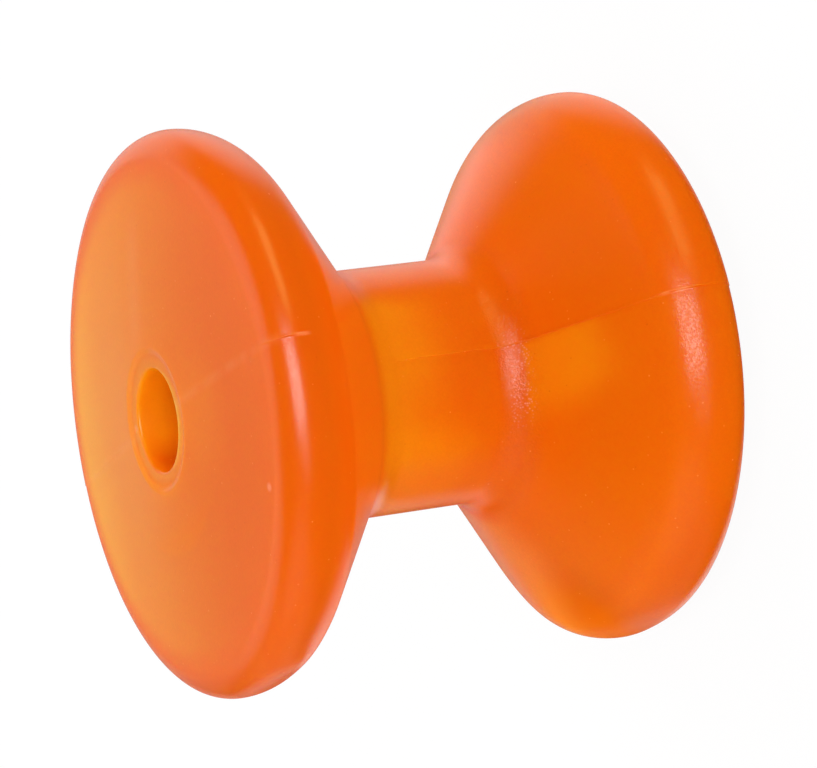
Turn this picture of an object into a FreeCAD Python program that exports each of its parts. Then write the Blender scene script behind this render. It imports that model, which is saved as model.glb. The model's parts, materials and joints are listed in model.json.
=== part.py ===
import FreeCAD, Part
import math
import os

# Bow roller for a boat trailer, moulded in one piece from solid urethane.
# Millimetres and degrees. The axis of the bore is Z, and the roller stands on one end at Z = 0.
# The mould parts in the plane X = 0, so its witness line runs along +Y and -Y.

# Driving dimensions
overall_length = 71.2
flange_diameter = 76.0
barrel_diameter = 33.9
flank_angle = 53.7
junction_radius = 4.0
rim_flank_radius = 8.7
rim_face_radius = 4.4
end_slope = 3.9
bore_diameter = 13.7
mouth_radius = 0.4
hub_recess_diameter = 18.4
hub_recess_depth = 0.35
bead_height = 0.15
bead_width = 0.5
bead_setback = 3.0

# Radii and angles worked out from the driving dimensions
flange_radius = flange_diameter / 2
barrel_radius = barrel_diameter / 2
bore_radius = bore_diameter / 2
recess_radius = hub_recess_diameter / 2
half_length = overall_length / 2
flank = math.radians(flank_angle)
slope = math.radians(end_slope)

# Height of the rim's crest over the middle of the roller: the end face falls from the edge of
# the hub recess at the end_slope, and the rim's outer rounding starts where it ends.
face_edge_radius = flange_radius - rim_face_radius * (1 - math.sin(slope))
face_fall = (face_edge_radius - recess_radius) * math.tan(slope)
crest = half_length - face_fall - rim_face_radius * math.cos(slope)

# Height at which the barrel ends: the flank is a cone, tangent to the rim and to the junction.
rim_foot_radius = flange_radius - rim_flank_radius * (1 - math.cos(flank))
rim_foot = crest - rim_flank_radius * math.sin(flank)
junction_top_radius = barrel_radius + junction_radius * (1 - math.cos(flank))
junction_top = rim_foot - (rim_foot_radius - junction_top_radius) / math.tan(flank)
barrel_end = junction_top - junction_radius * math.sin(flank)


def point(radius, height, side):
    """Point of the section in the plane Y = 0, its height counted from the middle of the roller."""
    return FreeCAD.Vector(radius, 0, half_length + side * height)


def line(start, end):
    return Part.LineSegment(start, end).toShape()


def arc(centre_radius, centre_height, radius, start, end, side):
    """Arc about a centre in the section; its angles are taken from the outward radius."""
    def on_arc(angle):
        out = centre_radius + radius * math.cos(angle)
        up = centre_height + radius * math.sin(angle)
        return point(out, up, side)
    return Part.Arc(on_arc(start), on_arc((start + end) / 2), on_arc(end)).toShape()


def outer_edges(side, growth, inner_radius):
    """Outer line of one half, from the barrel's end over junction, flank and rim and in along
    the end face to inner_radius. All of it is moved out of the material by growth. The centres
    of the rim's two arcs lie at the height of the crest, so the arcs still meet there."""
    junction = arc(barrel_radius + junction_radius, barrel_end, junction_radius - growth,
                   math.pi, math.pi - flank, side)
    flank_rim = arc(flange_radius - rim_flank_radius, crest, rim_flank_radius + growth,
                    -flank, 0, side)
    face_rim = arc(flange_radius - rim_face_radius, crest, rim_face_radius + growth,
                   0, math.pi / 2 - slope, side)
    edge_radius = face_edge_radius + growth * math.sin(slope)
    edge_height = crest + (rim_face_radius + growth) * math.cos(slope)
    inner_height = edge_height + (edge_radius - inner_radius) * math.tan(slope)
    flank_line = line(junction.Vertexes[-1].Point, flank_rim.Vertexes[0].Point)
    face_line = line(face_rim.Vertexes[-1].Point, point(inner_radius, inner_height, side))
    return [junction, flank_line, flank_rim, face_rim, face_line]


def hub_edges(side):
    """Shallow recess round the mouth of the bore, and the mouth's rounded edge."""
    floor = half_length - hub_recess_depth
    lip = point(recess_radius, half_length, side)
    corner = point(recess_radius, floor, side)
    mouth = arc(bore_radius + mouth_radius, floor - mouth_radius, mouth_radius,
                math.pi / 2, math.pi, side)
    return [line(lip, corner), line(corner, mouth.Vertexes[0].Point), mouth]


def closed_face(upper, lower):
    """Face between two halves whose edges both run from the barrel inwards."""
    barrel = line(lower[0].Vertexes[0].Point, upper[0].Vertexes[0].Point)
    inside = line(upper[-1].Vertexes[-1].Point, lower[-1].Vertexes[-1].Point)
    return Part.Face(Part.Wire([barrel] + upper + [inside] + lower[::-1]))


def make_spool():
    """The roller itself: its section turned once round the axis, bore included."""
    upper = outer_edges(1, 0, recess_radius) + hub_edges(1)
    lower = outer_edges(-1, 0, recess_radius) + hub_edges(-1)
    axis = FreeCAD.Vector(0, 0, 1)
    return closed_face(upper, lower).revolve(FreeCAD.Vector(0, 0, 0), axis, 360)


def make_bead(turn):
    """Witness line of the mould along one side: a low bead in the parting plane. It stops short
    of the hub recess, where the end face is still low enough for it to clear the floor."""
    inner_radius = recess_radius + bead_setback
    upper = outer_edges(1, bead_height, inner_radius)
    lower = outer_edges(-1, bead_height, inner_radius)
    bead = closed_face(upper, lower).extrude(FreeCAD.Vector(0, bead_width, 0))
    bead.translate(FreeCAD.Vector(0, -bead_width / 2, 0))
    bead.rotate(FreeCAD.Vector(0, 0, 0), FreeCAD.Vector(0, 0, 1), turn)
    return bead


def make_roller():
    roller = make_spool().fuse([make_bead(90), make_bead(270)])
    return roller.removeSplitter()


os.makedirs("parts", exist_ok=True)
make_roller().exportStep("parts/roller.step")
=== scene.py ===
import json
import math

import bpy
import numpy as np
from mathutils import Matrix, Vector, noise


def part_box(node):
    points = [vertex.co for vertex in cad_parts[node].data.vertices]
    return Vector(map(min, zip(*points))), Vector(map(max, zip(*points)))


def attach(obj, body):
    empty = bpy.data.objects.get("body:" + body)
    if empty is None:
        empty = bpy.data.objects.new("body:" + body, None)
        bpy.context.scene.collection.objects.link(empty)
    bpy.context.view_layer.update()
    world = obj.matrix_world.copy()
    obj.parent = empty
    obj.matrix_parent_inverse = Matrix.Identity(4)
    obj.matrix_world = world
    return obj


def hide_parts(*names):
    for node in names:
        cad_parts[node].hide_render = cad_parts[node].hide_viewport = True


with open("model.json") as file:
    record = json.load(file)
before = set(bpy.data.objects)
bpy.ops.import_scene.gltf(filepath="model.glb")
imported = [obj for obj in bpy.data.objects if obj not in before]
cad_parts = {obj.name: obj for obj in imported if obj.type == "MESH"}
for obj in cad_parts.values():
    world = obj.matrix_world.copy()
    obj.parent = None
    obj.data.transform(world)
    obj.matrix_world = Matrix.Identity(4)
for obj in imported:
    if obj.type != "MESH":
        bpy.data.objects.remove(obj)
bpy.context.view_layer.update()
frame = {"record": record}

# Boat trailer bow roller: one moulding of translucent orange urethane, standing on one end.
# Metres and radians, in the frame of the CAD model: the bore runs along Z, and the mould parts
# in the plane X = 0. Azimuths and elevations are in degrees: azimuth 0 is in front, on the -Y
# side, and 90 is +X.

MM = 0.001

# Section: the sizes that the frame gives, then those of the part's source. Only the junction's
# radius is wider here, and the edge of the hub recess is rounded.
LOW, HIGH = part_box("roller")
HALF_LENGTH = (HIGH.z - LOW.z) / 2
FLANGE_RADIUS = HIGH.x
BORE_RADIUS = frame["record"]["mounts"][0]["dims"]["r_mm"] * MM
BARREL_RADIUS = 16.95 * MM
FLANK_ANGLE = math.radians(53.7)
JUNCTION_RADIUS = 5.5 * MM
RIM_FLANK_RADIUS = 8.7 * MM
RIM_FACE_RADIUS = 4.4 * MM
END_SLOPE = math.radians(3.9)
RECESS_RADIUS = 9.2 * MM
RECESS_DEPTH = 0.35 * MM
RECESS_TURN = math.radians(24)
MOUTH_RADIUS = 0.4 * MM

# Angles of the section's normal, counted from the outward radius
UP = math.pi / 2
INWARDS = math.pi
FACE_NORMAL = UP - END_SLOPE

# Spacing of the mesh's rows along the section
BARREL_STEP = 0.9 * MM
JUNCTION_STEP = 0.22 * MM
FLANK_STEP = 0.7 * MM
RIM_FLANK_STEP = 0.35 * MM
RIM_FACE_STEP = 0.3 * MM
UPPER_FACE_STEP = 0.5 * MM
LOWER_FACE_STEP = 1.2 * MM
RECESS_STEP = 0.14 * MM
FLOOR_STEP = 0.25 * MM
MOUTH_STEP = 0.1 * MM
BORE_STEP = 2.5 * MM

# Spacing of its columns, which stand close beside the parting plane and wider away from it
NARROW_COLUMN = math.radians(0.12)
WIDE_COLUMN = math.radians(1.75)
NARROW_COLUMNS = 5
COLUMN_GROWTH = 1.2

# Mould marks: the -X half is a little smaller, and flash stands along the line between the two.
# On the upper flank the step is worn wide, and on the end faces most of the flash is worn away.
STEP_HEIGHT = 0.17 * MM
STEP_WIDTH = 0.14 * MM
STEP_WEAR = 60
FLASH_HEIGHT = 0.08 * MM
FLASH_WIDTH = 0.13 * MM
FLASH_LENGTH = 2.2 * MM
FLASH_SETBACK = 2.5 * MM
FLASH_WEAR = 0.88
WANDER = 0.12 * MM
WANDER_LENGTH = 4.5 * MM

# Slight waviness of the whole surface: its depth, and the length of its broad and fine waves
WAVE_DEPTH = 0.035 * MM
WAVE_LENGTH = 13 * MM
FINE_WAVE_LENGTH = 4 * MM

# Dents, in millimetres and degrees: radius, height, angle round the axis, length round the
# axis, width across it and depth. A burr or bump has a negative depth.
DENTS = [
    (30.6, 69.74, -91.4, 0.65, 0.85, 0.12),
    (8.2, 70.85, 83.0, 0.35, 0.45, 0.16),
    (7.6, 70.85, 86.0, 0.30, 0.30, -0.12),
    (19.0, 70.53, -10.0, 0.25, 0.70, 0.04),
    (17.7, 70.62, -5.0, 0.25, 0.70, 0.04),
    (32.9, 69.58, -120.0, 0.45, 0.45, 0.07),
    (37.9, 63.6, -165.0, 0.45, 0.55, 0.08),
    (37.7, 62.9, -165.0, 3.2, 2.6, -0.38),
]

# The lower flange bulges a little on one side: angle round the axis, spread and height, the
# radius at which it starts and the stretch over which it rises
BULGE_ANGLE = math.radians(157)
BULGE_SPREAD = math.radians(17)
BULGE_HEIGHT = 0.9 * MM
BULGE_START = 22 * MM
BULGE_RISE = 13 * MM

# Painted highlights on the end face: pale spots on a blister, and on a burr at the mouth of the
# bore
SPOT_HIGHLIGHTS = [(-0.0166, -0.0282, 0.0697), (0.0010, 0.0079, 0.0708)]

# Painted edge light: the urethane's colour changes where the surface turns away from this side of
# the roller, the side that the camera looks from: azimuth and elevation
EDGE_LIGHT_SIDE = (-12.75, 25.68)

# Colours of the urethane, in linear light
DEEP_ORANGE = (0.708, 0.124, 0.0012, 1)
# Painted glow of light through the urethane; the amber also carries its random drift:
AMBER = (0.80, 0.275, 0.003, 1)
HONEY_GLOW = (0.80, 0.36, 0.008, 1)
BACK_GLOW_ORANGE = (0.98, 0.36, 0.050, 1)
# Painted shade on the rim crests and the upper flank, and painted light in the lower nook:
RIM_SHADE_RED = (0.635, 0.103, 0.0012, 1)
FLANK_SHADE_RED = (0.68, 0.086, 0.001, 1)
NOOK_LIGHT_ORANGE = (0.90, 0.130, 0.0015, 1)
SHADED_ORANGE = (0.54, 0.090, 0.001, 1)
# Painted edge light near the outline, seen from EDGE_LIGHT_SIDE:
EDGE_LIGHT_ORANGE = (0.90, 0.145, 0.0015, 1)
EDGE_LIGHT_RIM = (0.60, 0.132, 0.0015, 1)
EDGE_LIGHT_FOOT = (0.88, 0.150, 0.006, 1)
EDGE_LIGHT_LEFT = (0.74, 0.125, 0.0015, 1)
EDGE_LIGHT_UPPER = (0.80, 0.126, 0.003, 1)
# Bore colours: the mouth, painted glow further in, and painted shade on the -X side:
BORE_MOUTH = (0.78, 0.20, 0.002, 1)
BORE_GLOW_AMBER = (0.94, 0.35, 0.003, 1)
BORE_SHADE_RED = (0.73, 0.130, 0.001, 1)
# Painted shade in the mould line's crease, a pale flash partly painted as a highlight, painted
# glints, and the painted sheen of the flow mark and highlights of the spots:
CREASE_SHADE_RED = (0.66, 0.07, 0.001, 1)
FLASH_HIGHLIGHT_PINK = (0.95, 0.40, 0.16, 1)
GLINT_PINK = (1.0, 0.56, 0.40, 1)
SHEEN_PINK = (0.95, 0.42, 0.22, 1)
PALE_SPECK = (0.95, 0.36, 0.09, 1)
DARK_SPECK = (0.45, 0.045, 0.001, 1)

# Camera, placed as in the photograph, and the image that it frames
IMAGE_WIDTH = 817
FOCAL_PIXELS = 3586.5
SENSOR_WIDTH = 36
CAMERA_TARGET = Vector((0.31, -0.82, 34.07)) * MM
CAMERA_DISTANCE = 487.6 * MM
CAMERA_AZIMUTH = -12.75
CAMERA_ELEVATION = 25.68
CAMERA_ROLL = math.radians(97.46)
NEAREST_SEEN = 10 * MM

# Main lamps, which the gloss shows: azimuth, elevation, distance, width, height and brightness
KEYS = [
    ("key", -4.5, 22.8, 3.0, 1.76, 1.72, 4.5),
    ("key_edge", -32, 14, 3.0, 0.9, 1.2, 0.75),
]

# Fill lamps, which the gloss doesn't show: azimuth, elevation and brightness
FILLS = [
    ("top_fill", 0, 90, 1.25),
    ("right_fill", 105, 15, 2.2),
    ("left_fill", -105, 5, 2.4),
    ("back_fill", 180, 20, 1.3),
]
FILL_DISTANCE = 1.0
FILL_SIZE = 0.9
POWER_PER_AREA = 4

# Surroundings that the gloss shows: azimuth, elevation, radii of the full and the faded part of
# each patch in degrees, and brightness
SURROUNDINGS = [
    (122, -20, 12, 31, 0.85),
    (141, 3, 10, 30, 0.8),
    (128, 62, 12, 26, 1.0),
    (150, 44, 6, 22, 0.65),
    (-165, 48, 8, 30, 0.7),
    (145, -36, 10, 26, 0.47),
    (165, 3, 8, 30, 0.45),
    (172, 30, 18, 45, 0.25),
    (-108, 10, 30, 48, 0.22),
    (-85, 22, 10, 35, 0.42),
    (-160, -44, 9, 20, 0.95),
    (-148, -18, 8, 20, 0.5),
    (-178, -12, 5, 16, 0.36),
    (172, -38, 6, 20, 0.35),
]
DARK_SURROUNDINGS = 0.02
EVEN_LIGHT = 0.45

# Row of yellow-green reflections beside the bright front: azimuth and elevation of each, radii
# of their full and faded part in degrees, and colour
GLOWS = [(31, 0), (43, -1), (55, -5)]
GLOW_RADII = (4, 13)
GLOW_COLOUR = (2.6, 2.7, 0.7, 1)

# Floor: half its width, the grey that light on it meets, and how white the camera sees it
FLOOR_REACH = 3.0
FLOOR_GREY = (0.85, 0.85, 0.85, 1)
FLOOR_WHITENESS = 0.95

# Sockets of a Mix node that take and give colours, which share their names with others
MIX_FIRST, MIX_SECOND, MIX_RESULT = 6, 7, 2


def towards(azimuth, elevation):
    """Direction from the roller."""
    turn, rise = math.radians(azimuth), math.radians(elevation)
    return Vector((math.cos(rise) * math.sin(turn), -math.cos(rise) * math.cos(turn),
                   math.sin(rise)))


def straight(start, end, angle, step):
    """Straight stretch of the section: rows of radius, height and angle of its normal."""
    count = max(1, round(math.dist(start, end) / step))
    shares = [k / count for k in range(count)]
    return [(start[0] + (end[0] - start[0]) * t, start[1] + (end[1] - start[1]) * t, angle)
            for t in shares]


def arc(centre, radius, start, end, step):
    """Rounded stretch of the section, from one angle of its normal to another. Its radius is
    negative where the section is hollow."""
    count = max(2, round(abs((end - start) * radius) / step))
    angles = [start + (end - start) * k / count for k in range(count)]
    return [(centre[0] + radius * math.cos(a), centre[1] + radius * math.sin(a), a)
            for a in angles]


def hub_rows():
    """Section of the recess round the bore's mouth, and of the bore down to its middle. Two arcs
    of one radius lead from the end face to the recess's floor, and meet at RECESS_RADIUS, where
    the normal has turned by RECESS_TURN."""
    floor = HALF_LENGTH - RECESS_DEPTH
    lip_share = math.sin(RECESS_TURN) + math.sin(END_SLOPE)
    fall_share = lip_share * math.tan(END_SLOPE)
    rounding = RECESS_DEPTH / (1 + math.cos(END_SLOPE) - 2 * math.cos(RECESS_TURN) + fall_share)
    lip_centre = (RECESS_RADIUS + rounding * (lip_share - math.cos(FACE_NORMAL)),
                  HALF_LENGTH - rounding * (fall_share + math.sin(FACE_NORMAL)))
    floor_edge = RECESS_RADIUS - rounding * math.sin(RECESS_TURN)
    rows = arc(lip_centre, rounding, FACE_NORMAL, UP + RECESS_TURN, RECESS_STEP)
    rows += arc((floor_edge, floor + rounding), -rounding, UP + RECESS_TURN, UP, RECESS_STEP)
    rows += straight((floor_edge, floor), (BORE_RADIUS + MOUTH_RADIUS, floor), UP, FLOOR_STEP)
    rows += arc((BORE_RADIUS + MOUTH_RADIUS, floor - MOUTH_RADIUS), MOUTH_RADIUS,
                UP, INWARDS, MOUTH_STEP)
    rows += straight((BORE_RADIUS, floor - MOUTH_RADIUS), (BORE_RADIUS, 0), INWARDS, BORE_STEP)
    return rows


def half_section(face_step):
    """One half of the section, from the barrel's middle over the rim to the middle of the bore.
    Heights count from the middle of the roller, and normals point out of the urethane."""
    face_edge = FLANGE_RADIUS - RIM_FACE_RADIUS * (1 - math.sin(END_SLOPE))
    fall = (face_edge - RECESS_RADIUS) * math.tan(END_SLOPE)
    crest = HALF_LENGTH - fall - RIM_FACE_RADIUS * math.cos(END_SLOPE)
    rim_foot = (FLANGE_RADIUS - RIM_FLANK_RADIUS * (1 - math.cos(FLANK_ANGLE)),
                crest - RIM_FLANK_RADIUS * math.sin(FLANK_ANGLE))
    junction_radius = BARREL_RADIUS + JUNCTION_RADIUS * (1 - math.cos(FLANK_ANGLE))
    junction_top = (junction_radius,
                    rim_foot[1] - (rim_foot[0] - junction_radius) / math.tan(FLANK_ANGLE))
    barrel_end = junction_top[1] - JUNCTION_RADIUS * math.sin(FLANK_ANGLE)
    hub = hub_rows()
    rows = straight((BARREL_RADIUS, 0), (BARREL_RADIUS, barrel_end), 0, BARREL_STEP)
    rows += arc((BARREL_RADIUS + JUNCTION_RADIUS, barrel_end), -JUNCTION_RADIUS,
                0, -FLANK_ANGLE, JUNCTION_STEP)
    rows += straight(junction_top, rim_foot, -FLANK_ANGLE, FLANK_STEP)
    rows += arc((FLANGE_RADIUS - RIM_FLANK_RADIUS, crest), RIM_FLANK_RADIUS,
                -FLANK_ANGLE, 0, RIM_FLANK_STEP)
    rows += arc((FLANGE_RADIUS - RIM_FACE_RADIUS, crest), RIM_FACE_RADIUS,
                0, FACE_NORMAL, RIM_FACE_STEP)
    rows += straight((face_edge, crest + RIM_FACE_RADIUS * math.cos(END_SLOPE)), hub[0][:2],
                     FACE_NORMAL, face_step)
    return rows + hub


def whole_section():
    """Radius, height and angle of the normal, once round the closed section."""
    upper = half_section(UPPER_FACE_STEP)
    lower = [(radius, -height, -angle) for radius, height, angle in half_section(LOWER_FACE_STEP)]
    rows = np.array(upper + lower[:0:-1])
    return rows[:, 0], rows[:, 1] + HALF_LENGTH, rows[:, 2]


def column_angles():
    """Angles of the mesh's columns, once round the axis."""
    gaps = []
    gap = NARROW_COLUMN
    while sum(gaps) < math.pi / 2:
        gaps.append(gap)
        if len(gaps) > NARROW_COLUMNS:
            gap = min(gap * COLUMN_GROWTH, WIDE_COLUMN)
    from_seam = np.cumsum([0] + gaps) * (math.pi / 2) / sum(gaps)
    half_turn = np.concatenate([from_seam[:-1], math.pi - from_seam[:0:-1]])
    return np.concatenate([half_turn, half_turn + math.pi]) - math.pi / 2


def smooth(value):
    """Soft step: 0 up to 0, and 1 from 1 on."""
    t = np.clip(value, 0, 1)
    return t * t * (3 - 2 * t)


def waves(points, size):
    """Soft noise between 0 and 1, whose lumps are about as wide as size."""
    values = [noise.noise(Vector(p) / size) for p in points.reshape(-1, 3)]
    return np.clip(0.5 + 0.5 * np.array(values), 0, 1).reshape(points.shape[:-1])


def turn_between(angles, turn):
    """Turns round the axis from one angle to the others, between -pi and pi."""
    return (angles - turn + math.pi) % (2 * math.pi) - math.pi


def mould_relief(points, radius, normal_angle):
    """Height of the mould's marks over the turned section. The step is worn wide where the normal
    leans down on the upper half, and the flash where it points almost straight up."""
    along = points * [0, 1, 1]
    line = points[..., 0] + WANDER * (2 * waves(along, WANDER_LENGTH) - 1)
    outer = smooth((radius - BORE_RADIUS - FLASH_SETBACK) / MM)
    upper_half = smooth((points[..., 2] - HALF_LENGTH) / (8 * MM))
    upper_flank = upper_half * smooth(-4 * np.sin(normal_angle))
    on_face = smooth((np.sin(normal_angle) - 0.8) / 0.15)
    step_width = STEP_WIDTH * (1 + STEP_WEAR * upper_flank)
    step = STEP_HEIGHT * smooth(0.5 - line / step_width) * np.clip(np.cos(normal_angle), 0, 1)
    flash = FLASH_HEIGHT * np.exp(-(line / FLASH_WIDTH) ** 2) * waves(along, FLASH_LENGTH)
    flash = flash * (1 - upper_flank) * (1 - FLASH_WEAR * on_face)
    sunken = WAVE_DEPTH * (waves(points, WAVE_LENGTH) + 0.25 * waves(points, FINE_WAVE_LENGTH))
    return outer * (flash - step - sunken)


def bulge_relief(radius, height, normal_angle, angles):
    """Height of the lower flange's bulge, which spares the end that it stands on."""
    apart = turn_between(angles, BULGE_ANGLE)
    on_flange = smooth((radius - BULGE_START) / BULGE_RISE) * (height < HALF_LENGTH)
    upwards = smooth(1 + np.sin(normal_angle) / 0.45)
    return BULGE_HEIGHT * np.exp(-(apart / BULGE_SPREAD) ** 2) * on_flange * upwards


def dent_relief(radius, height, angles):
    """Height of the dents and burrs over the turned section."""
    relief = np.zeros((len(radius), angles.shape[1]))
    for dent_radius, dent_height, turn, length, width, depth in DENTS:
        round_axis = turn_between(angles, math.radians(turn)) * dent_radius / length
        across = np.hypot(radius - dent_radius * MM, height - dent_height * MM) / (width * MM)
        relief -= depth * MM * np.exp(-round_axis ** 2 - across ** 2)
    return relief


def make_roller():
    """The roller as one closed mesh: rows along the section, columns round the axis."""
    radius, height, normal_angle = (row[:, None] for row in whole_section())
    angles = column_angles()[None, :]
    outwards = np.stack([np.cos(angles), np.sin(angles), 0 * angles], axis=-1)
    upwards = np.array([0, 0, 1])
    points = radius[..., None] * outwards + height[..., None] * upwards
    normals = (np.cos(normal_angle)[..., None] * outwards
               + np.sin(normal_angle)[..., None] * upwards)
    relief = mould_relief(points, radius, normal_angle) + dent_relief(radius, height, angles)
    relief += bulge_relief(radius, height, normal_angle, angles)
    points = points + relief[..., None] * normals
    rows, columns = relief.shape
    index = np.arange(rows * columns).reshape(rows, columns)
    next_row = np.roll(index, -1, axis=0)
    faces = np.stack([index, np.roll(index, -1, axis=1), np.roll(next_row, -1, axis=1), next_row],
                     axis=-1).reshape(-1, 4)
    mesh = bpy.data.meshes.new("urethane_roller")
    mesh.from_pydata(points.reshape(-1, 3).tolist(), [], faces.tolist())
    mesh.shade_smooth()
    mesh.materials.append(urethane())
    roller = bpy.data.objects.new("urethane_roller", mesh)
    bpy.context.scene.collection.objects.link(roller)
    return roller


class Nodes:
    """Short way to add nodes to a material or world and to link them."""

    def __init__(self, owner):
        owner.use_nodes = True
        self.tree = owner.node_tree
        self.tree.nodes.clear()

    def add(self, kind, **settings):
        """Adds a node. A setting names a socket, with _ for its spaces, or else a property."""
        node = self.tree.nodes.new(kind)
        for name, value in settings.items():
            if hasattr(node, name):
                setattr(node, name, value)
        for name, value in settings.items():
            if not hasattr(node, name):
                self.put(node.inputs[name.replace("_", " ")], value)
        return node

    def put(self, socket, value):
        """Sets a socket to a value, or links it to another node's output."""
        if isinstance(value, bpy.types.NodeSocket):
            self.tree.links.new(value, socket)
        else:
            socket.default_value = value

    def fed(self, kind, *values, **settings):
        """Adds a node whose first sockets take the values, in their order."""
        node = self.add(kind, **settings)
        for socket, value in zip(node.inputs, values):
            self.put(socket, value)
        return node.outputs

    def math(self, operation, first, second=0.0):
        return self.fed("ShaderNodeMath", first, second, operation=operation)[0]

    def chain(self, operation, first, *others):
        for other in others:
            first = self.math(operation, first, other)
        return first

    def product(self, *values):
        return self.chain("MULTIPLY", *values)

    def total(self, *values):
        return self.chain("ADD", *values)

    def largest(self, *values):
        return self.chain("MAXIMUM", *values)

    def minus(self, first, second):
        return self.math("SUBTRACT", first, second)

    def absolute(self, value):
        return self.math("ABSOLUTE", value)

    def vector(self, operation, first, second):
        return self.fed("ShaderNodeVectorMath", first, second, operation=operation)["Vector"]

    def dot(self, first, second):
        return self.fed("ShaderNodeVectorMath", first, second, operation="DOT_PRODUCT")["Value"]

    def length(self, first):
        return self.fed("ShaderNodeVectorMath", first, operation="LENGTH")["Value"]

    def distance(self, first, second):
        return self.length(self.vector("SUBTRACT", first, second))

    def split(self, first):
        outputs = self.fed("ShaderNodeSeparateXYZ", first)
        return outputs[0], outputs[1], outputs[2]

    def between(self, value, low, high, to_low=0.0, to_high=1.0):
        """Value carried smoothly from the range low to high over to to_low to to_high."""
        node = self.add("ShaderNodeMapRange", interpolation_type="SMOOTHSTEP", Value=value,
                        From_Min=low, From_Max=high, To_Min=to_low, To_Max=to_high)
        return node.outputs["Result"]

    def mix(self, share, first, second):
        """Colour between two others."""
        node = self.add("ShaderNodeMix", data_type="RGBA", Factor=share)
        self.put(node.inputs[MIX_FIRST], first)
        self.put(node.inputs[MIX_SECOND], second)
        return node.outputs[MIX_RESULT]

    def mix_shaders(self, share, first, second):
        """Shader between two others."""
        return self.fed("ShaderNodeMixShader", share, first, second)[0]

    def cloud(self, point, scale, detail=1.0, roughness=0.5):
        """Soft noise, from 0 to 1."""
        node = self.add("ShaderNodeTexNoise", Vector=point, Scale=scale, Detail=detail,
                        Roughness=roughness)
        return node.outputs["Fac"]

    def cells(self, point, scale):
        """Distance from the middle of the nearest cell, and three random numbers of that cell."""
        node = self.add("ShaderNodeTexVoronoi", Vector=point, Scale=scale)
        return node.outputs["Distance"], self.split(node.outputs["Color"])


class Place:
    """Where a point of the roller is, in metres, and its share in the zones that several
    functions use, from 0 to 1. All of it is fixed to the roller, and none depends on the view."""

    def __init__(self, n):
        coordinates = n.add("ShaderNodeTexCoord").outputs
        self.point = coordinates["Object"]
        self.x, self.y, self.z = n.split(self.point)
        self.radius = n.length(n.vector("MULTIPLY", self.point, (1, 1, 0)))
        self.from_middle = n.absolute(n.minus(self.z, HALF_LENGTH))
        towards_side = n.dot(coordinates["Normal"], towards(*EDGE_LIGHT_SIDE))
        self.turned_away = n.minus(1.0, n.absolute(towards_side))

        self.on_end = n.product(n.between(self.from_middle, 0.031, 0.0325),
                                n.between(self.radius, 0.0070, 0.0074))
        self.end_face = n.product(self.on_end, n.between(self.radius, 0.0347, 0.0300))
        self.upper_flank = n.product(n.between(self.z, 0.043, 0.049),
                                     n.between(self.z, 0.0635, 0.0595),
                                     n.between(self.radius, 0.0169, 0.0185),
                                     n.between(self.x, 0.018, 0.010))
        behind = n.minus(self.y, n.between(self.x, -0.024, -0.036, 0.0, 0.0055))
        self.back_flank = n.product(n.between(self.z, 0.030, 0.026),
                                    n.between(self.radius, 0.018, 0.021),
                                    n.between(behind, -0.004, 0.008))
        self.hollow = n.product(n.between(self.radius, 0.0225, 0.0185),
                                n.between(self.z, 0.0300, 0.0275),
                                n.between(self.z, 0.0150, 0.0200),
                                n.between(self.x, -0.0185, -0.0140),
                                n.between(self.x, 0.010, 0.005))


def glow_and_drift_share(n, at):
    """Share of amber over deep orange, from 0 to 1: painted glow of light through the urethane
    towards +Y on the ends, round the hub, along the upper barrel and in a patch below the mould
    line on the lower flank, with a random drift and mottle."""
    drift = n.minus(n.cloud(at.point, 110.0, roughness=0.4), 0.5)
    mottle = n.minus(n.cloud(at.point, 1700.0), 0.5)

    end = n.product(at.end_face,
                    n.between(n.dot(at.point, towards(165, 0)), -0.026, 0.026, 0.0, 0.78))
    hub = n.between(n.distance(at.point, (-0.003, -0.014, 0.0705)), 0.010, 0.002, 0.0, 0.16)
    upper_rim = n.product(n.between(at.radius, 0.0335, 0.0355), n.between(at.z, 0.058, 0.062))

    # The barrel's painted glow starts higher up near x = -4.5 mm, and lower down near x = -11.2 mm
    higher = n.between(n.absolute(n.total(at.x, 0.0045)), 0.006, 0.001, 0.0, -0.0017)
    lower = n.between(n.absolute(n.total(at.x, 0.0112)), 0.004, 0.0, 0.0, 0.0022)
    height = n.total(at.z, n.product(drift, 0.006), higher, lower)
    barrel = n.product(n.between(height, 0.0300, 0.0445, 0.0, 0.60),
                       n.between(at.radius, 0.0215, 0.0185), n.between(at.x, 0.0115, 0.0065),
                       n.between(at.x, -0.0165, -0.0105, 0.45, 1.0),
                       n.between(at.from_middle, 0.030, 0.026))

    low_half = n.product(n.between(at.x, 0.0001, -0.0002), n.between(at.z, 0.030, 0.027),
                         n.between(at.radius, 0.0178, 0.0186), n.between(at.y, 0.004, -0.004))
    patch_radius = n.total(at.radius, n.product(drift, 0.006))
    low_patch = n.product(low_half, n.between(at.x, -0.0125, -0.006),
                          n.between(patch_radius, 0.0315, 0.0225), 0.56)

    return n.total(end, barrel, low_patch, hub, n.product(low_half, 0.09),
                   n.product(upper_rim, -0.08), n.product(drift, 0.06), n.product(mottle, 0.10))


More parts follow.
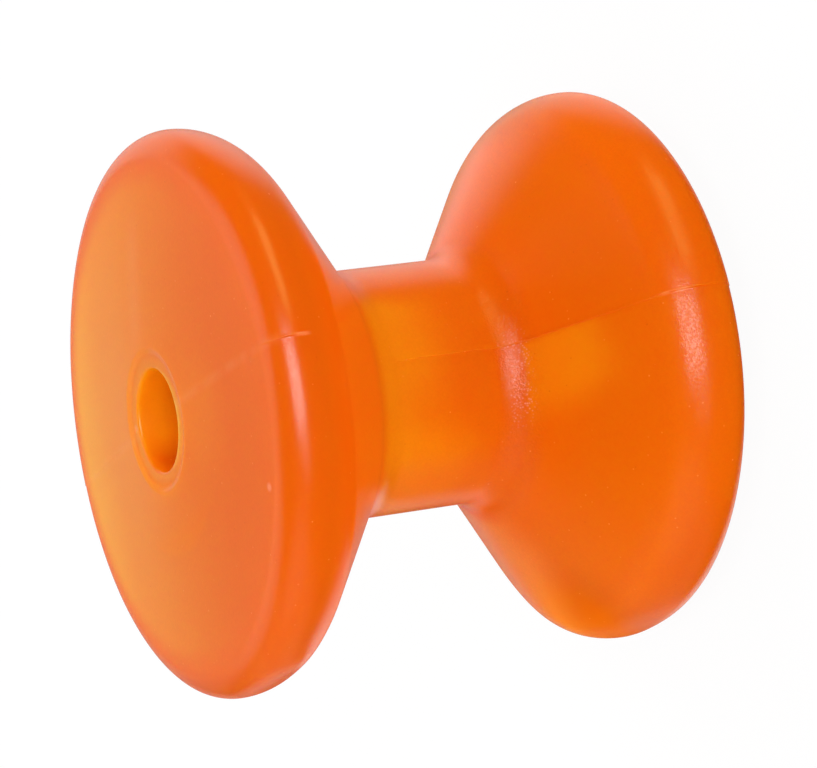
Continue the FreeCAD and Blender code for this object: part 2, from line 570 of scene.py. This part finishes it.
def body_colour(n, at):
    """Colour inside the urethane: deep orange with a random drift, painted amber glow of light
    through the urethane, painted shade on the crests of the rims and on the upper flank, and
    painted light in the lower nook, at the back of the end faces and on the back of the lower
    flange."""
    colour = n.mix(glow_and_drift_share(n, at), DEEP_ORANGE, AMBER)
    # Painted shade on the crests of the rims
    outwards = n.total(at.radius, n.between(at.z, 0.0635, 0.0675, 0.0, 0.0018))
    rims = n.total(n.between(at.z, 0.0585, 0.0635),
                   n.product(n.between(at.z, 0.019, 0.013),
                             n.between(at.x, -0.022, -0.033, 0.45, 1.0)))
    colour = n.mix(n.product(n.between(outwards, 0.0350, 0.0378), rims), colour, RIM_SHADE_RED)
    # Painted light in the lower nook, against the shade that falls there
    nook = n.product(n.between(at.radius, 0.028, 0.019), n.between(at.z, 0.031, 0.028), 0.22)
    colour = n.mix(nook, colour, NOOK_LIGHT_ORANGE)
    # Painted shade on the upper flank, which faces down between the flanges
    colour = n.mix(n.product(at.upper_flank, 0.8), colour, FLANK_SHADE_RED)
    # Painted glow of light through the rim, towards the back of the end face
    back_end_glow = n.product(at.end_face,
                         n.between(n.dot(at.point, towards(172, 0)), 0.016, 0.034, 0.0, 0.75))
    colour = n.mix(back_end_glow, colour, HONEY_GLOW)
    # Painted glow of light through the back of the lower flange
    return n.mix(n.product(at.back_flank, 0.42), colour, BACK_GLOW_ORANGE)


def painted_edge_light(n, at, colour):
    """Painted edge light over a colour where the surface turns away from EDGE_LIGHT_SIDE, and a
    painted shade spot on the lower rim."""
    rim_side = n.product(n.between(at.x, 0.0, 0.020), n.between(at.radius, 0.0305, 0.0355))
    outline_light = n.mix(rim_side, EDGE_LIGHT_ORANGE, EDGE_LIGHT_RIM)
    outline_light = n.mix(n.between(at.z, 0.011, 0.006), outline_light, EDGE_LIGHT_FOOT)
    outline_light = n.mix(n.between(at.x, -0.026, -0.034), outline_light, EDGE_LIGHT_LEFT)
    lower_edge = n.product(n.between(at.turned_away, 0.45, 0.92), n.between(at.z, 0.034, 0.027),
                           n.minus(1.0, n.product(at.back_flank, 0.6)))
    colour = n.mix(lower_edge, colour, outline_light)
    rim_end = n.product(n.between(at.z, 0.0690, 0.0670), n.between(at.x, -0.018, -0.024))
    upper_edge = n.product(n.between(at.turned_away, 0.65, 0.95), n.between(at.z, 0.040, 0.044),
                           n.largest(n.between(at.z, 0.0635, 0.0595), rim_end))
    colour = n.mix(upper_edge, colour, EDGE_LIGHT_UPPER)
    shaded = n.between(n.distance(at.point, (-0.0352, 0.0026, 0.0118)), 0.013, 0.003, 0.0, 0.42)
    return n.mix(shaded, colour, SHADED_ORANGE)


def bore_glow_and_shade(n, at):
    """Colour in the bore: painted amber glow of light through the urethane, deeper at the mouth,
    and painted shade on the -X side.
    """
    colour = n.mix(n.between(at.z, 0.0708, 0.0670), BORE_MOUTH, BORE_GLOW_AMBER)
    return n.mix(n.between(at.x, 0.000, -0.0055), colour, BORE_SHADE_RED)


def mould_line_shares(n, at):
    """Along the mould line: how strong the painted shade in the crease on the flanks is, and how
    pale the thin flash on the rims and ends, whose paleness is partly a painted highlight."""
    beside = n.absolute(at.x)
    dark = n.product(n.between(beside, 0.0009, 0.0), n.between(at.radius, 0.018, 0.0185),
                     n.between(at.radius, 0.034, 0.030), n.between(at.z, 0.031, 0.029), 0.2)
    broken = n.cloud(at.point, 330.0)
    upper_tick = n.product(n.between(at.z, 0.0635, 0.0645), n.between(at.z, 0.0664, 0.0655), 0.5)
    lower_dash = n.product(n.between(at.z, 0.0015, 0.0030), n.between(at.z, 0.0135, 0.0115),
                           n.between(broken, 0.46, 0.60), 0.38)
    on_rim = n.product(n.between(at.radius, 0.0345, 0.0355), n.between(beside, 0.00035, 0.0001),
                       n.largest(upper_tick, lower_dash), 0.55)
    on_face = n.product(at.on_end, n.between(beside, 0.0011, 0.0),
                        n.between(broken, 0.30, 0.70, 0.02, 0.09))
    return dark, n.largest(on_rim, on_face)


def painted_glint_share(n, at):
    """Painted glints: pale grains in the hollow of the lower junction, limited to where its
    highlight lies.
    """
    distance, (pick, _, _) = n.cells(at.point, 2700.0)
    return n.product(n.between(distance, 0.50, 0.15), at.hollow, n.between(pick, 0.10, 0.80), 0.34,
                     n.between(at.x, 0.004, -0.001), n.between(at.x, -0.0118, -0.0075),
                     n.between(at.radius, 0.01696, 0.01705), n.between(at.radius, 0.0194, 0.0182))


def speck_shares(n, at):
    """Fine specks in the surface: how strong the pale ones are, and how strong the dark ones."""
    distance, (pick, size, _) = n.cells(at.point, 950.0)
    strength = n.product(n.between(distance, 0.16, 0.05), n.between(size, 0.0, 1.0, 0.2, 0.65))
    return (n.product(strength, n.between(pick, 0.80, 0.92), 0.8),
            n.product(strength, n.between(pick, 0.16, 0.08), 0.5))


def flow_mark_sheen_share(n, at):
    """Painted sheen along a streak on the end face, where the urethane flowed together."""
    beside = n.absolute(n.total(at.y, -0.0048, n.product(at.x, 0.32)))
    return n.product(at.on_end, n.between(beside, 0.0042, 0.0),
                     n.between(at.x, 0.008, 0.014), n.between(at.x, 0.030, 0.022), 0.055)


def surface_marks(n, at, colour):
    """Lays the mould line with its painted crease shade and flash highlight, the painted glints,
    the specks, the flow mark's painted sheen and the spots' painted highlights over a colour.
    """
    crease_shade, flash_highlight = mould_line_shares(n, at)
    pale_speck, dark_speck = speck_shares(n, at)
    marks = [(crease_shade, CREASE_SHADE_RED), (flash_highlight, FLASH_HIGHLIGHT_PINK), (painted_glint_share(n, at), GLINT_PINK),
             (pale_speck, PALE_SPECK), (dark_speck, DARK_SPECK),
             (flow_mark_sheen_share(n, at), SHEEN_PINK)]
    # Painted highlights on a blister and a burr
    marks += [(n.between(n.distance(at.point, spot), 0.0008, 0.0002, 0.0, 0.35), SHEEN_PINK)
              for spot in SPOT_HIGHLIGHTS]
    for share, mark in marks:
        colour = n.mix(share, colour, mark)
    return colour


def gloss_level(n, at):
    """Strength of the gloss: pitted all over, highest in the hollow of the lower junction, and
    dull on the flanks, at one spot of the lower rim, under the barrel and at the recess's lip."""
    dull_spot = n.between(n.distance(at.point, (-0.0352, 0.0060, 0.0125)), 0.013, 0.005, 0.0, 0.95)
    lower_flank = n.product(n.between(at.radius, 0.0345, 0.032), n.between(at.radius, 0.019, 0.021),
                            n.between(at.z, 0.030, 0.027), n.between(at.turned_away, 0.65, 0.25))
    under = n.product(n.between(at.radius, 0.0185, 0.0175), n.between(at.x, -0.013, -0.016), 0.3)
    lip = n.product(at.on_end, n.between(at.radius, 0.0103, 0.0097),
                    n.between(at.radius, 0.0079, 0.0084), n.between(at.x, 0.001, -0.004), 0.55)
    dull = n.largest(dull_spot, n.product(lower_flank, 0.6), n.product(at.upper_flank, 0.85),
                     under, lip)
    pits = n.between(n.cloud(at.point, 2900.0), 0.38, 0.62, -0.6, 0.7)
    pitted = n.total(n.product(n.between(at.z, 0.020, 0.060, 0.65, 0.3), pits), 1.0)
    return n.product(n.between(at.z, 0.024, 0.046, 0.34, 0.5), n.minus(1.0, dull),
                     n.between(at.hollow, 0.0, 1.0, 1.0, 1.25), pitted)


def roughness(n, at):
    """Satin finish, a little smoother in the hollow of the lower junction."""
    satin = n.between(n.cloud(at.point, 90.0), 0.0, 1.0, 0.22, 0.265)
    return n.minus(satin, n.product(at.hollow, 0.07))


def grained_normal(n, at):
    """Fine grain of the surface, coarsest in the hollow of the lower junction."""
    grain = n.cloud(at.point, 3300.0, detail=2.0, roughness=0.6)
    coarse = n.largest(at.hollow, n.between(at.z, 0.022, 0.016, 0.0, 0.06))
    bump = n.add("ShaderNodeBump", Height=grain, Distance=0.0002,
                 Strength=n.between(coarse, 0.0, 1.0, 0.08, 0.50))
    return bump.outputs["Normal"]


def urethane():
    """Translucent orange urethane: light scatters in it, under a satin and finely pitted skin."""
    material = bpy.data.materials.new("orange_urethane")
    n = Nodes(material)
    at = Place(n)
    outside = painted_edge_light(n, at, body_colour(n, at))
    colour = n.mix(n.between(at.radius, 0.0074, 0.0070), outside, bore_glow_and_shade(n, at))
    shader = n.add("ShaderNodeBsdfPrincipled", Base_Color=surface_marks(n, at, colour),
                   Roughness=roughness(n, at), Normal=grained_normal(n, at), IOR=1.5,
                   Specular_IOR_Level=gloss_level(n, at), Subsurface_Weight=1.0,
                   Subsurface_Radius=(1.0, 0.8, 0.6), Subsurface_Scale=0.012)
    n.add("ShaderNodeOutputMaterial", Surface=shader.outputs["BSDF"])
    return material


def floor_material():
    """Pale floor: white to the camera, with the roller's soft shadow on it."""
    material = bpy.data.materials.new("pale_floor")
    n = Nodes(material)
    seen = n.add("ShaderNodeLightPath").outputs["Is Camera Ray"]
    white = n.add("ShaderNodeEmission", Strength=1.0)
    pale = n.add("ShaderNodeBsdfDiffuse", Color=FLOOR_GREY)
    mixed = n.mix_shaders(n.product(seen, FLOOR_WHITENESS), pale.outputs[0], white.outputs[0])
    n.add("ShaderNodeOutputMaterial", Surface=mixed)
    return material


def make_floor():
    mesh = bpy.data.meshes.new("floor")
    corners = [(-FLOOR_REACH, -FLOOR_REACH, 0), (FLOOR_REACH, -FLOOR_REACH, 0),
               (FLOOR_REACH, FLOOR_REACH, 0), (-FLOOR_REACH, FLOOR_REACH, 0)]
    mesh.from_pydata(corners, [], [(0, 1, 2, 3)])
    mesh.materials.append(floor_material())
    floor = bpy.data.objects.new("floor", mesh)
    bpy.context.scene.collection.objects.link(floor)
    floor.visible_glossy = False


def bright_patch(n, direction, centre, inner, outer):
    """Share of a soft-edged bright patch in a direction; inner and outer are its radii in
    degrees round the centre."""
    return n.between(n.dot(direction, towards(*centre)), math.cos(math.radians(outer)),
                     math.cos(math.radians(inner)))


def make_world():
    """Soft surroundings: even light from all round, white to the camera, and in the gloss
    bright behind the roller and dark in front."""
    world = bpy.data.worlds.new("studio")
    bpy.context.scene.world = world
    n = Nodes(world)
    rays = n.add("ShaderNodeLightPath").outputs
    direction = n.add("ShaderNodeTexCoord").outputs["Generated"]
    patches = [n.product(bright_patch(n, direction, (azimuth, elevation), inner, outer), brightness)
               for azimuth, elevation, inner, outer, brightness in SURROUNDINGS]
    glows = [bright_patch(n, direction, centre, *GLOW_RADII) for centre in GLOWS]
    reflected = n.mix(n.largest(*glows), n.largest(DARK_SURROUNDINGS, *patches), GLOW_COLOUR)
    even = n.add("ShaderNodeBackground", Strength=EVEN_LIGHT).outputs[0]
    gloss = n.add("ShaderNodeBackground", Color=reflected, Strength=1.0).outputs[0]
    white = n.add("ShaderNodeBackground", Strength=1.0).outputs[0]
    lit = n.mix_shaders(rays["Is Glossy Ray"], even, gloss)
    n.add("ShaderNodeOutputWorld", Surface=n.mix_shaders(rays["Is Camera Ray"], lit, white))
    world.cycles.sampling_method = "NONE"


def looking(direction, roll=0.0):
    """Turn that makes a lamp or camera look along a direction."""
    return direction.to_track_quat("-Z", "Y").to_matrix().to_4x4() @ Matrix.Rotation(roll, 4, "Z")


def make_softbox(name, azimuth, elevation, distance, width, height, brightness):
    """Flat soft lamp that faces the roller."""
    direction = towards(azimuth, elevation)
    lamp = bpy.data.lights.new(name, "AREA")
    lamp.shape = "RECTANGLE"
    lamp.size = width
    lamp.size_y = height
    lamp.energy = POWER_PER_AREA * brightness * width * height
    softbox = bpy.data.objects.new(name, lamp)
    bpy.context.scene.collection.objects.link(softbox)
    middle = Vector((0, 0, HALF_LENGTH))
    softbox.matrix_world = Matrix.Translation(middle + distance * direction) @ looking(-direction)
    return softbox


def make_lamps():
    for key in KEYS:
        make_softbox(*key)
    for name, azimuth, elevation, brightness in FILLS:
        fill = make_softbox(name, azimuth, elevation, FILL_DISTANCE, FILL_SIZE, FILL_SIZE,
                            brightness)
        fill.visible_glossy = False


def make_camera():
    """Camera of the photograph, which looked down at the roller and was turned on its side."""
    back = towards(CAMERA_AZIMUTH, CAMERA_ELEVATION)
    lens = bpy.data.cameras.new("camera")
    lens.sensor_width = SENSOR_WIDTH
    lens.lens = FOCAL_PIXELS * SENSOR_WIDTH / IMAGE_WIDTH
    lens.clip_start = NEAREST_SEEN
    camera = bpy.data.objects.new("camera", lens)
    bpy.context.scene.collection.objects.link(camera)
    camera.matrix_world = (Matrix.Translation(CAMERA_TARGET + CAMERA_DISTANCE * back)
                           @ looking(-back, -CAMERA_ROLL))
    bpy.context.scene.camera = camera


roller = make_roller()
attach(roller, "root")
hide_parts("roller")

make_floor()
make_world()
make_lamps()
make_camera()
bpy.context.scene.view_settings.view_transform = "Standard"
